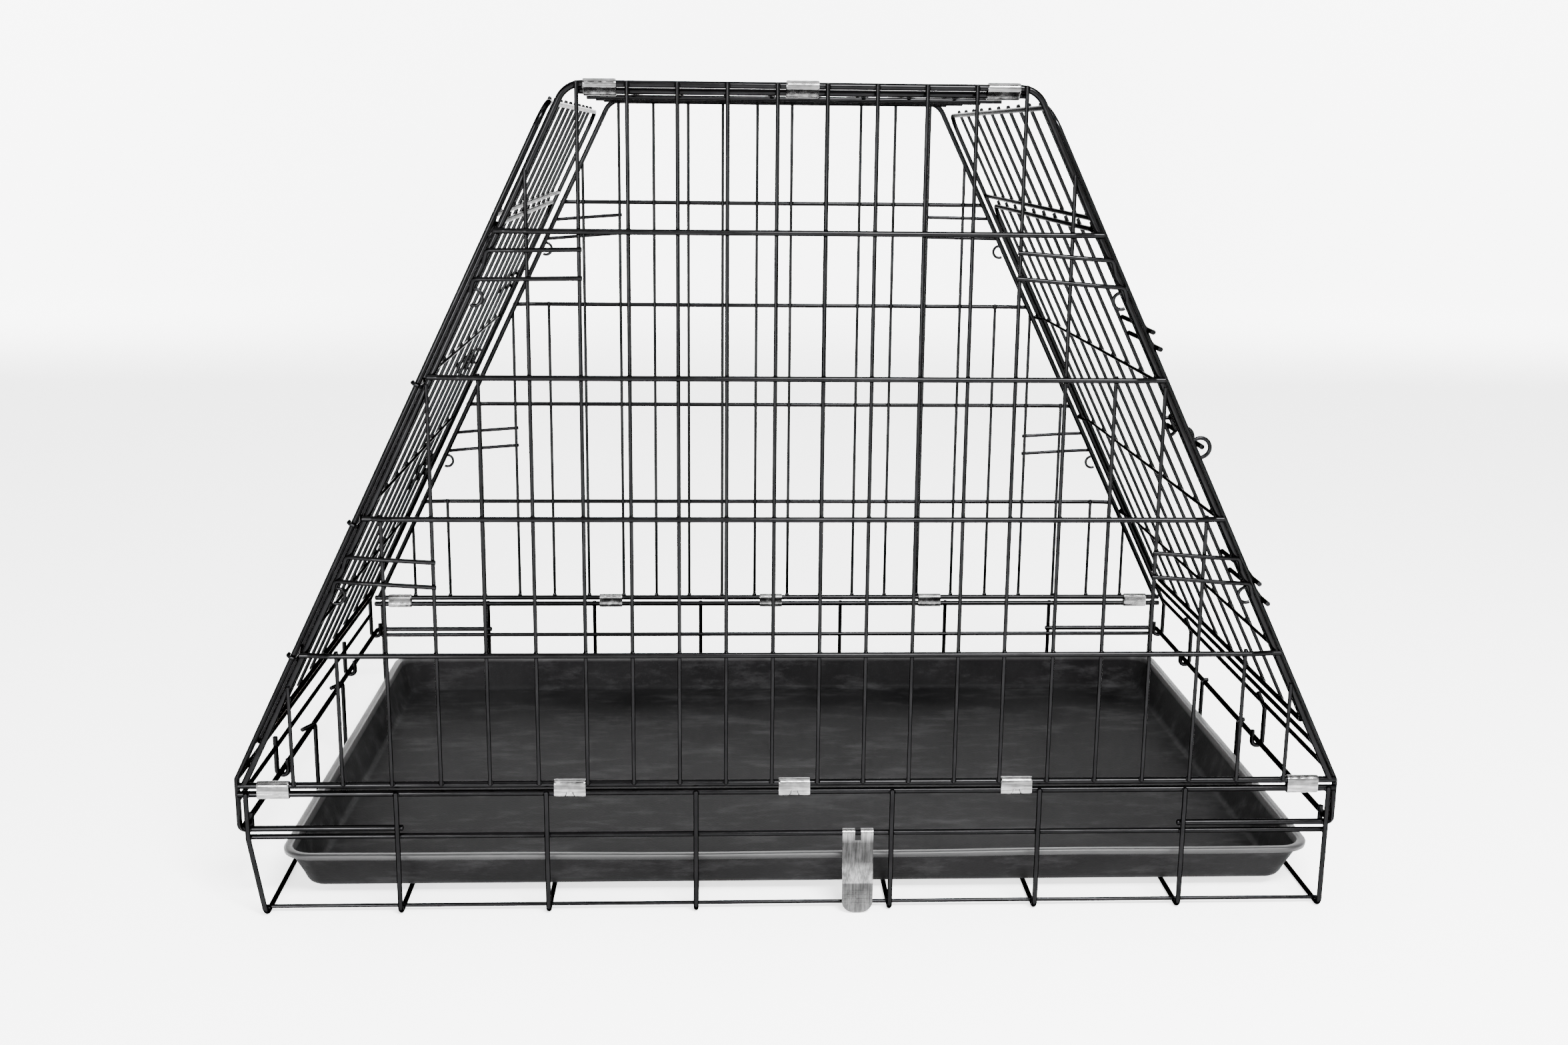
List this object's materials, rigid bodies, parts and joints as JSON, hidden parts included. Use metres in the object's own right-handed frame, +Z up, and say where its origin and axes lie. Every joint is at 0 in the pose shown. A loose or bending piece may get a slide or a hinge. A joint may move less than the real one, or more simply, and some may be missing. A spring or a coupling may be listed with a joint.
{
  "type": "folding wire dog crate",
  "caption": "Folding wire dog crate with sloping ends, a door with a slide bolt in each end, a wire basket base and a drop-in tray.",
  "frame": {"origin": "on the floor, in the middle of the base", "axes": "+X along the long panels towards the right end, +Y towards the rear panel, +Z up"},
  "size_m": [0.9298, 0.5984, 0.6824],
  "materials": {
    "black_wire": "satin black coating",
    "tray_plastic": "satin black",
    "steel_clip": "bright plated sheet"
  },
  "bodies": {
    "base": {"base_floor_grid": "black_wire", "base_front_fence": "black_wire", "base_rear_fence": "black_wire", "base_end_left": "black_wire", "base_end_right": "black_wire", "clip_front_1": "steel_clip", "clip_front_2": "steel_clip", "clip_front_3": "steel_clip", "clip_front_4": "steel_clip", "clip_front_5": "steel_clip", "clip_rear_1": "steel_clip", "clip_rear_2": "steel_clip", "clip_rear_3": "steel_clip", "clip_rear_4": "steel_clip", "clip_rear_5": "steel_clip"},
    "tray": {"tray": "tray_plastic"},
    "tray_stop": {"tray_clip": "steel_clip"},
    "front": {"front_panel": "black_wire"},
    "rear": {"rear_panel": "black_wire"},
    "top": {"top_panel": "black_wire", "clip_top_front_1": "steel_clip", "clip_top_front_2": "steel_clip", "clip_top_front_3": "steel_clip", "clip_top_rear_1": "steel_clip", "clip_top_rear_2": "steel_clip", "clip_top_rear_3": "steel_clip"},
    "end_right": {"end_panel_right": "black_wire"},
    "end_left": {"end_panel_left": "black_wire"},
    "door_right": {"door_right": "black_wire"},
    "door_left": {"door_left": "black_wire"},
    "bolt_right": {"bolt_right": "black_wire"},
    "bolt_left": {"bolt_left": "black_wire"}
  },
  "joints": [
    {"name": "front_panel_fold", "type": "hinge", "parent": "base", "child": "front", "pos_m": [0, -0.29, 0.115], "axis": [1, 0, 0], "range_deg": [-80, 0]},
    {"name": "rear_panel_fold", "type": "hinge", "parent": "base", "child": "rear", "pos_m": [0, 0.29, 0.115], "axis": [1, 0, 0], "range_deg": [-80, 0]},
    {"name": "top_panel_level", "type": "hinge", "parent": "front", "child": "top", "pos_m": [0, -0.29, 0.6785], "axis": [1, 0, 0], "range_deg": [0, 80]},
    {"name": "right_end_fold", "type": "hinge", "parent": "base", "child": "end_right", "pos_m": [0.4576, 0, 0.077], "axis": [0, 1, 0], "range_deg": [-67.5, 0]},
    {"name": "left_end_fold", "type": "hinge", "parent": "base", "child": "end_left", "pos_m": [-0.4576, 0, 0.077], "axis": [0, -1, 0], "range_deg": [-64, 0]},
    {"name": "right_door_swing", "type": "hinge", "parent": "end_right", "child": "door_right", "pos_m": [0.4603, 0.279, 0.115], "axis": [-0.4378, 0, 0.8991], "range_deg": [0, 110]},
    {"name": "left_door_swing", "type": "hinge", "parent": "end_left", "child": "door_left", "pos_m": [-0.4633, -0.279, 0.115], "axis": [0.4378, 0, 0.8991], "range_deg": [0, 110]},
    {"name": "right_bolt_slide", "type": "slide", "parent": "door_right", "child": "bolt_right", "axis": [0, -1, 0], "range_m": [0, 0.013]},
    {"name": "left_bolt_slide", "type": "slide", "parent": "door_left", "child": "bolt_left", "axis": [0, 1, 0], "range_m": [0, 0.013]},
    {"name": "tray_clip_swing", "type": "hinge", "parent": "base", "child": "tray_stop", "pos_m": [0.054, -0.2903, 0.07], "axis": [-1, 0, 0], "range_deg": [0, 100]},
    {"name": "tray_lift", "type": "slide", "parent": "base", "child": "tray", "axis": [0, 0, 1], "range_m": [0, 0.06]}
  ],
  "couplings": [
    {"joint": "rear_panel_fold", "follows": "front_panel_fold", "ratio": 1},
    {"joint": "top_panel_level", "follows": "front_panel_fold", "ratio": -1}
  ]
}
